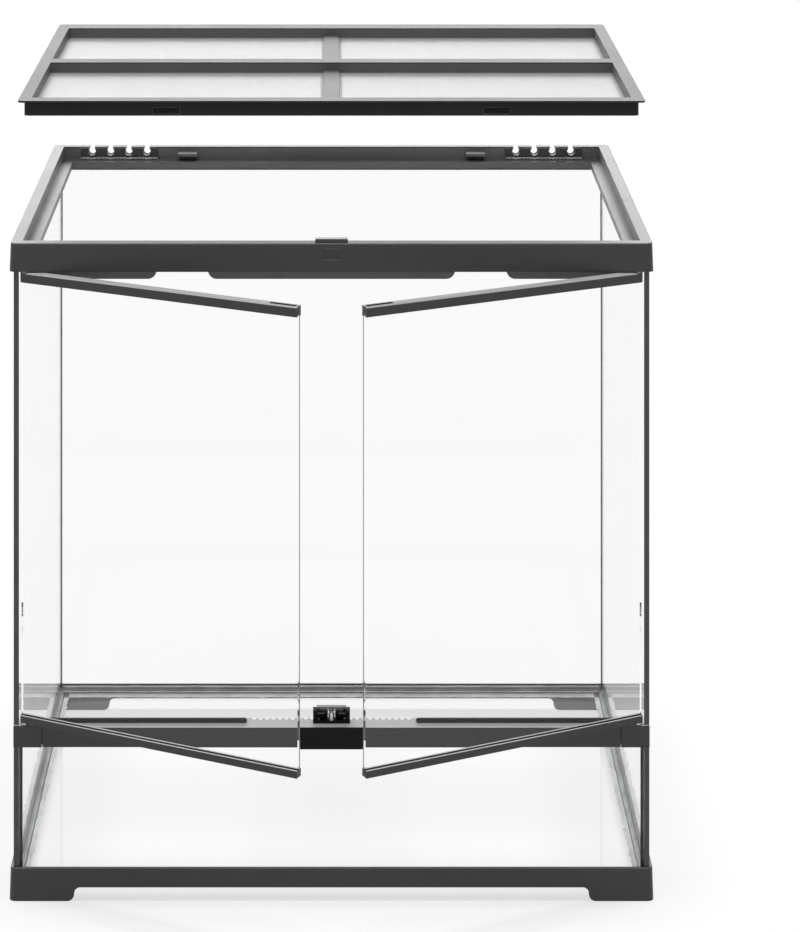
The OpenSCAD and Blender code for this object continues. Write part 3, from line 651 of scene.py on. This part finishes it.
def inside_of_frame(name):
    """Corners of the box that holds the inner faces of the base frame or the rim"""
    skin, front_wall, cap = 1.5 * MM, 6 * MM, 1.2 * MM
    low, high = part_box(name)
    return low + Vector((skin, front_wall, 0)), high - Vector((skin, skin, cap))


def inside_of_lid():
    """Corners of the box that holds the lid's inner faces"""
    flange, cap = 6 * MM, 1 * MM
    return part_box("mesh_front_left")[0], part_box("lid_frame")[1] - Vector((flange, flange, cap))


class TERRARIUM_OT_frames(bpy.types.Operator):
    """Finish the moulded frames, the sill, the lock and the trim"""

    bl_idname = "terrarium.frames"
    bl_label = "Finish frames"

    def execute(self, context):
        tones = context.scene.terrarium_finishes
        rough = tones.charcoal_roughness
        # painted light: the inner walls of the base, rim and lid and the upper faces of the trim, rim and
        # lid get their own tones in place of the light that reaches them
        base_inside_painted_light = inner_painted_light(tones.base_inside_painted_light, *inside_of_frame("base_frame"))
        rim_inside_painted_light = inner_painted_light(tones.rim_inside_painted_light, *inside_of_frame("top_frame"))
        lid_inside_painted_light = inner_painted_light(tones.lid_inside_painted_light, *inside_of_lid())
        finish_nodes(TRIM, plastic("Charcoal Plastic", tones.charcoal, rough,
                                   tints=[upper_tint(tones.charcoal_top_painted_light)]))
        finish_nodes(["base_frame"], plastic("Base Frame Plastic", tones.charcoal, rough,
                                             tints=[upper_tint(tones.charcoal), base_inside_painted_light]))
        finish_nodes(["top_frame"], plastic("Top Frame Plastic", tones.charcoal, rough,
                                            tints=[rim_inside_painted_light, upper_tint(tones.rim_top_painted_light)]))
        finish_nodes(["lid_frame"], plastic("Lid Plastic", tones.lid_plastic, rough, gloss=0.09,
                                            tints=[lid_inside_painted_light, upper_tint(tones.lid_top_painted_light)]))
        finish_nodes(BLACK_PARTS, plastic("Black Plastic", tones.black, roughness=0.4, edge_wear_and_highlight=2.2,
                                          gloss=0.12))
        finish_nodes(SEAL_BARS, plastic("Seal Rubber", tones.rubber, roughness=0.6, grain=1500.0))
        finish_nodes(["lock_plate"], plastic("Grey Plastic", tones.grey, roughness=0.4, edge_wear_and_highlight=1.2))
        finish_nodes(STEEL_PARTS, turned_steel("Turned Steel", tones.steel))
        return {"FINISHED"}


class TERRARIUM_OT_glass(bpy.types.Operator):
    """Finish the glass panes"""

    bl_idname = "terrarium.glass"
    bl_label = "Finish glass"

    def execute(self, context):
        tones = context.scene.terrarium_finishes
        for name, shade, panes in (
            ("Tank Glass", tones.tank_glass, TANK_PANES),
            ("Front Glass", tones.front_glass, FRONT_PANES),
            ("Door Glass", tones.door_glass, DOOR_PANES),
        ):
            finish_nodes(panes, clear_glass(name, shade, tones.glass_index))
        return {"FINISHED"}


class TERRARIUM_OT_beads(bpy.types.Operator):
    """Run the silicone beads in the inside corners"""

    bl_idname = "terrarium.beads"
    bl_label = "Silicone beads"

    def execute(self, context):
        sizes = context.scene.terrarium_details
        tones = context.scene.terrarium_finishes
        floor_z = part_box("floor_pane")[1].z
        top_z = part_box("silicone_seams")[1].z
        sill_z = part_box("sill_rail")[0].z
        front_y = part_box("front_pane")[1].y
        back_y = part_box("back_pane")[0].y
        side_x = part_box("right_pane")[0].x
        up, rearward = Vector((0, 0, 1)), Vector((0, 1, 0))
        low_pane_z = sill_z - 1 * MM  # just under the sill
        leg = sizes.floor_bead
        overlap = leg * 0.8  # a film starts under its bead
        upright_wave = sizes.bead_wave * 0.2
        back_wave = sizes.bead_wave * 0.4
        back_smear = sizes.smear_width * 2

        def bead(start, end, side_a, side_b, size, seed, wave=sizes.bead_wave):
            return bead_mesh(Vector(start), Vector(end), side_a, side_b, size, wave, sizes.bead_step, seed)

        def smear(start, end, side, width, seed):
            return smear_strip(Vector(start), Vector(end), side, width, sizes.smear_wave, sizes.smear_film,
                               sizes.bead_step, seed)

        upright, level, smears = [], [], []
        for seed, side in enumerate((-1, 1)):
            inward = Vector((-side, 0, 0))
            x = side * side_x
            front, back = (x, front_y, floor_z), (x, back_y, floor_z)
            upright.append(bead(back, (x, back_y, top_z), inward, -rearward,
                                sizes.back_bead, seed, upright_wave))
            upright.append(bead(front, (x, front_y, low_pane_z), inward, rearward,
                                sizes.front_bead, seed + 5, upright_wave))
            level.append(bead(front, back, inward, up, leg, seed + 9))
            x = side * (side_x - overlap)
            smears.append(smear((x, front_y, floor_z), (x, back_y, floor_z), inward,
                                sizes.smear_width, seed))
        level.append(bead((-side_x, front_y, floor_z), (side_x, front_y, floor_z), rearward, up,
                          leg, seed=14))
        black = silicone("Black Silicone", tones.silicone)
        seams = new_piece("upright_beads", *joined(upright), black, "housing", "silicone")
        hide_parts("silicone_seams")
        pale = silicone("Pale Silicone", tones.pale_silicone)
        new_piece("floor_beads", *joined(level), pale, "housing", "silicone")
        # the back bead reaches up to the top of the base frame, so its pale tone also covers the dark gap
        # between the back pane and the frame: painted light there
        rise = (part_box("base_frame")[1].z - floor_z) / leg
        back_bead = bead((-side_x, back_y, floor_z), (side_x, back_y, floor_z), -rearward, up * rise,
                         leg, seed=15, wave=back_wave)
        grey = silicone("Back Silicone", tones.back_silicone_and_painted_light)
        new_piece("back_floor_bead", *back_bead, grey, "housing", "silicone")
        y = back_y - overlap
        smears.append(smear((-side_x, y, floor_z), (side_x, y, floor_z), -rearward, back_smear, seed=7))
        film = thin_film("Wiped Silicone", tones.smear, cover=0.75)
        new_piece("floor_smears", *joined(smears), film, "housing", "silicone", smooth=False)
        return {"FINISHED"}


class TERRARIUM_OT_edges(bpy.types.Operator):
    """Finish the ground edges of the side panes and of the doors; a door's free edge gets a painted grey
    line that stands in for the light its polished edge bends
    """

    bl_idname = "terrarium.edges"
    bl_label = "Pane edges"

    def execute(self, context):
        sizes = context.scene.terrarium_details
        tones = context.scene.terrarium_finishes
        out = Vector((0, -sizes.edge_film, 0))
        strips = []
        for name in ("left_pane", "right_pane"):
            low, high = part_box(name)
            strips.append(arrised_strip(low, Vector((high.x, low.y, low.z)), out, high.z - low.z))
        ground = thin_film("Ground Edge", tones.pane_edge, cover=1.0)
        new_piece("pane_edge_finish", *joined(strips), ground, "housing", "clear_glass", smooth=False)
        # painted shade: the grey film along each door's free edge stands in for the line its polished edge
        # shows by bending light
        polished = thin_film("Polished Arris", tones.arris, cover=0.85)
        for name, side in (("left", 1), ("right", -1)):
            corners = free_corners(NODES[f"{name}_door_glass"].data, side)
            new_piece(f"{name}_door_arris", *corner_line(corners, sizes.arris), polished, f"{name}_door",
                      "clear_glass", smooth=False)
        return {"FINISHED"}


class TERRARIUM_OT_lips(bpy.types.Operator):
    """Raise the slim lips round the latch window and round the lid's catch slots, painted pale as a
    painted highlight along the openings' edges
    """

    bl_idname = "terrarium.lips"
    bl_label = "Moulded lips"

    def execute(self, context):
        sizes = context.scene.terrarium_details
        tones = context.scene.terrarium_finishes
        # the lips' pale tone is a painted highlight
        finish = plastic("Moulded Lip", tones.lip_highlight, tones.charcoal_roughness)

        def lip_highlight(name, low, high):
            corners = mouth_corners(NODES[name].data, Vector(low), Vector(high))
            return lip_ring(*corners, sizes.lip_width, sizes.lip_rise)

        # the window lies near the middle of the rim's front face, below its top edge
        reach, skin, edge = 12 * MM, 1.5 * MM, 4 * MM
        low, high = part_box("top_frame")
        window = lip_highlight("top_frame", (-reach, low.y, 0), (reach, low.y + skin, high.z - edge))
        new_piece("latch_window_lip", *window, finish, "housing", "charcoal_plastic", smooth=False)
        # one slot lies in each half of the skirt's front wall, above its lower edge
        near, far = 100 * MM, 200 * MM
        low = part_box("lid_frame")[0]
        front, back = low.y + 1 * MM, low.y + 4 * MM
        bottom, top = low.z + 1.2 * MM, low.z + 9 * MM
        slots = [lip_highlight("lid_frame", (left, front, bottom), (right, back, top))
                 for left, right in ((-far, -near), (near, far))]
        new_piece("catch_slot_lips", *joined(slots), finish, "lid", "charcoal_plastic", smooth=False)
        return {"FINISHED"}


class TERRARIUM_OT_mesh(bpy.types.Operator):
    """Finish the woven mesh of the lid"""

    bl_idname = "terrarium.mesh"
    bl_label = "Lid mesh"

    def execute(self, context):
        tones = context.scene.terrarium_finishes
        wire = woven_wire("Woven Wire", tones.wire, tones.wire_pitch, tones.wire_width)
        panels = [name for name in NODES if name.startswith("mesh_")]
        finish_nodes(panels, wire)
        for name in panels:
            NODES[name].visible_shadow = False
        return {"FINISHED"}


class TERRARIUM_OT_studio(bpy.types.Operator):
    """Set up the floor, the light and the camera"""

    bl_idname = "terrarium.studio"
    bl_label = "Studio"

    def execute(self, context):
        scene = context.scene
        settings = scene.terrarium_studio
        make_camera(scene, settings)
        make_world(scene, settings)
        make_floor(scene, settings)
        make_top_lamp(scene, settings)
        make_soft_lamp(scene, "sheen_light", settings.sheen_light, (-0.6, 3.4, 2.1), size=(5.0, 2.4))
        make_soft_lamp(scene, "front_light", settings.front_light, (-0.3, -0.7, 3.0), size=(3.0, 0.8))
        scene.view_settings.view_transform = "Standard"
        return {"FINISHED"}


# ---- Studio ----


def make_camera(scene, settings):
    """A level view with upright verticals, framed by a sheared rig in place of a large lens shift"""
    data = bpy.data.cameras.new("camera")
    camera = bpy.data.objects.new("camera", data)
    rig = bpy.data.objects.new("camera_rig", None)
    for made in (camera, rig):
        scene.collection.objects.link(made)
    aside = (PICTURE_W / 2 - settings.middle_x) / settings.focal_px
    down = (PICTURE_H / 2 - settings.horizon_y) / settings.focal_px
    back = -Vector((aside, 1, -down))
    reach = back.length
    front_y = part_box("top_frame")[0].y
    data.sensor_width = 36
    data.sensor_fit = "AUTO"
    data.lens = settings.focal_px * reach / PICTURE_H * data.sensor_width
    data.clip_end = 100
    camera.parent = rig
    camera.matrix_parent_inverse = Matrix((
        (1, 0, back.x / reach, 0),
        (0, 0, back.y / reach, front_y - settings.distance),
        (0, 1, back.z / reach, settings.height),
        (0, 0, 0, 1),
    ))
    scene.camera = camera


def seen_directly(tree):
    """1 for camera, glossy and transmission rays"""
    path = tree.nodes.new("ShaderNodeLightPath").outputs
    either = math_node(tree, "MAXIMUM", path["Is Camera Ray"], path["Is Glossy Ray"])
    return math_node(tree, "MAXIMUM", either, path["Is Transmission Ray"])


def make_world(scene, settings):
    """Soft light from all round, which shows as plain white"""
    world = bpy.data.worlds.new("studio")
    world.use_nodes = True
    tree = world.node_tree
    tree.nodes.clear()
    out = tree.nodes.new("ShaderNodeOutputWorld")
    light = node(tree, "ShaderNodeBackground", Color=(1, 1, 1, 1), Strength=settings.world_light)
    white = node(tree, "ShaderNodeBackground", Color=(1, 1, 1, 1), Strength=1.0)
    surface = mixed_shaders(tree, seen_directly(tree), light.outputs[0], white.outputs[0])
    link(tree, surface, out.inputs["Surface"])
    scene.world = world


def make_floor(scene, settings):
    """A matt floor that keeps the terrarium's shadow and is lifted towards white for the camera"""
    half = 30.0
    pale = 0.65
    mesh = bpy.data.meshes.new("floor")
    corners = [(-half, -half, 0), (half, -half, 0), (half, half, 0), (-half, half, 0)]
    mesh.from_pydata(corners, [], [(0, 1, 2, 3)])
    made, tree, shader, out = blank_material("Studio Floor")
    shader.inputs["Base Color"].default_value = (pale, pale, pale, 1)
    shader.inputs["Roughness"].default_value = 0.9
    shader.inputs["Specular IOR Level"].default_value = 0.0
    glow = node(tree, "ShaderNodeEmission", Color=(1, 1, 1, 1))
    lift = math_node(tree, "MULTIPLY", seen_directly(tree), settings.floor_lift)
    link(tree, lift, glow.inputs["Strength"])
    add = tree.nodes.new("ShaderNodeAddShader")
    link(tree, shader.outputs[0], add.inputs[0])
    link(tree, glow.outputs[0], add.inputs[1])
    link(tree, add.outputs[0], out.inputs["Surface"])
    mesh.materials.append(made)
    floor = bpy.data.objects.new("floor", mesh)
    scene.collection.objects.link(floor)


def make_top_lamp(scene, settings):
    """Even soft light from straight above"""
    data = bpy.data.lights.new("top_light", "SUN")
    data.angle = math.radians(14)
    data.energy = settings.top_light
    lamp = bpy.data.objects.new("top_light", data)
    lamp.location = (0, 0, 2.6)
    scene.collection.objects.link(lamp)


def make_soft_lamp(scene, name, power, place, size):
    """A soft rectangular lamp aimed at the terrarium, which leaves the floor and the glass alone"""
    data = bpy.data.lights.new(name, "AREA")
    data.shape = "RECTANGLE"
    data.size, data.size_y = size
    data.energy = power
    lamp = bpy.data.objects.new(name, data)
    lamp.location = place
    middle = Vector((0, 0, 0.4))
    aim = middle - lamp.location
    lamp.rotation_euler = aim.to_track_quat("-Z", "Y").to_euler()
    lamp.visible_camera = False
    scene.collection.objects.link(lamp)
    spared = bpy.data.collections.new(name + "_spares")
    panes = (NODES[pane] for pane in (*TANK_PANES, *FRONT_PANES, *DOOR_PANES))
    for left_out in (bpy.data.objects["floor"], *panes):
        spared.objects.link(left_out)
    lamp.light_linking.receiver_collection = spared
    for entry in spared.collection_objects:
        entry.light_linking.link_state = "EXCLUDE"


# ---- Panel and registration ----


class TERRARIUM_PT_panel(bpy.types.Panel):
    """Lists the steps that dress the terrarium"""

    bl_label = "Terrarium"
    bl_idname = "TERRARIUM_PT_panel"
    bl_space_type = "VIEW_3D"
    bl_region_type = "UI"
    bl_category = "Terrarium"

    def draw(self, context):
        for step in OPERATORS:
            self.layout.operator(step.bl_idname)
        for name in GROUPS:
            settings = getattr(context.scene, name)
            box = self.layout.box()
            for key in settings.__annotations__:
                box.prop(settings, key)


GROUPS = {
    "terrarium_finishes": TERRARIUM_PG_finishes,
    "terrarium_details": TERRARIUM_PG_details,
    "terrarium_studio": TERRARIUM_PG_studio,
}
OPERATORS = (
    TERRARIUM_OT_studio,
    TERRARIUM_OT_frames,
    TERRARIUM_OT_glass,
    TERRARIUM_OT_beads,
    TERRARIUM_OT_edges,
    TERRARIUM_OT_lips,
    TERRARIUM_OT_mesh,
)


def register():
    for name, group in GROUPS.items():
        bpy.utils.register_class(group)
        setattr(bpy.types.Scene, name, PointerProperty(type=group))
    for cls in (*OPERATORS, TERRARIUM_PT_panel):
        bpy.utils.register_class(cls)


def unregister():
    for cls in (TERRARIUM_PT_panel, *reversed(OPERATORS)):
        bpy.utils.unregister_class(cls)
    for name, group in reversed(GROUPS.items()):
        delattr(bpy.types.Scene, name)
        bpy.utils.unregister_class(group)


def main():
    register()
    for step in OPERATORS:
        category, name = step.bl_idname.split(".")
        getattr(getattr(bpy.ops, category), name)()


if __name__ == "__main__":
    main()
